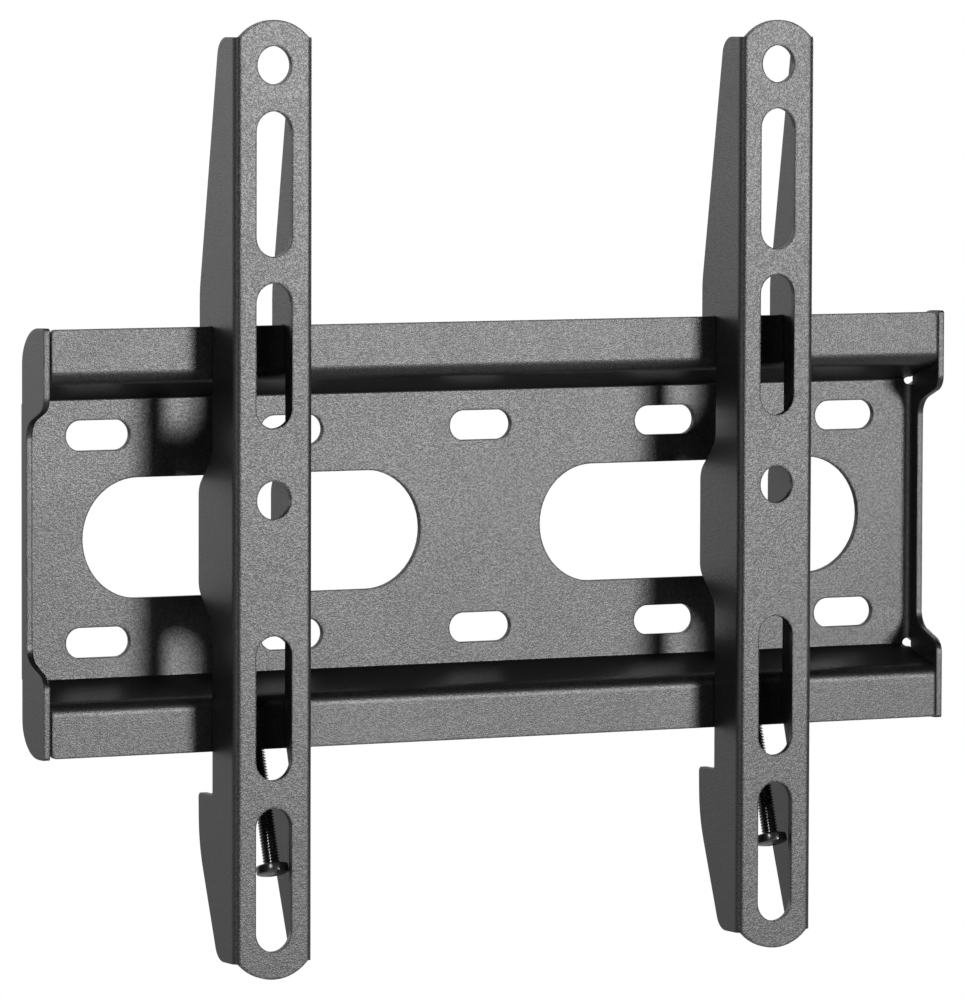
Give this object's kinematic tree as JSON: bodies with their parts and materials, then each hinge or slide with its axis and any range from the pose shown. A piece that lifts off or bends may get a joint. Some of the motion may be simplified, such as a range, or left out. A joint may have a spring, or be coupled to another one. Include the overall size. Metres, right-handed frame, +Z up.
{
  "type": "fixed tv wall bracket",
  "caption": "Fixed wall bracket for a flat screen: a folded slotted wall plate with rails, and slotted channel arms that hook over the top rail and lock with a screw below.",
  "frame": {"origin": "middle of the wall plate's back face, on the wall", "axes": "+X to the right seen from the room, +Y into the wall, +Z up"},
  "size_m": [0.24, 0.027, 0.2214],
  "materials": {
    "plate_coat": "fine-grained black powder coat",
    "arm_coat": "fine-grained black powder coat",
    "screw_black": "glossy black finish on steel"
  },
  "bodies": {
    "root": {"wall_plate": "plate_coat", "left_arm": "arm_coat", "right_arm": "arm_coat", "left_lock_screw": "screw_black", "right_lock_screw": "screw_black"}
  },
  "joints": []
}
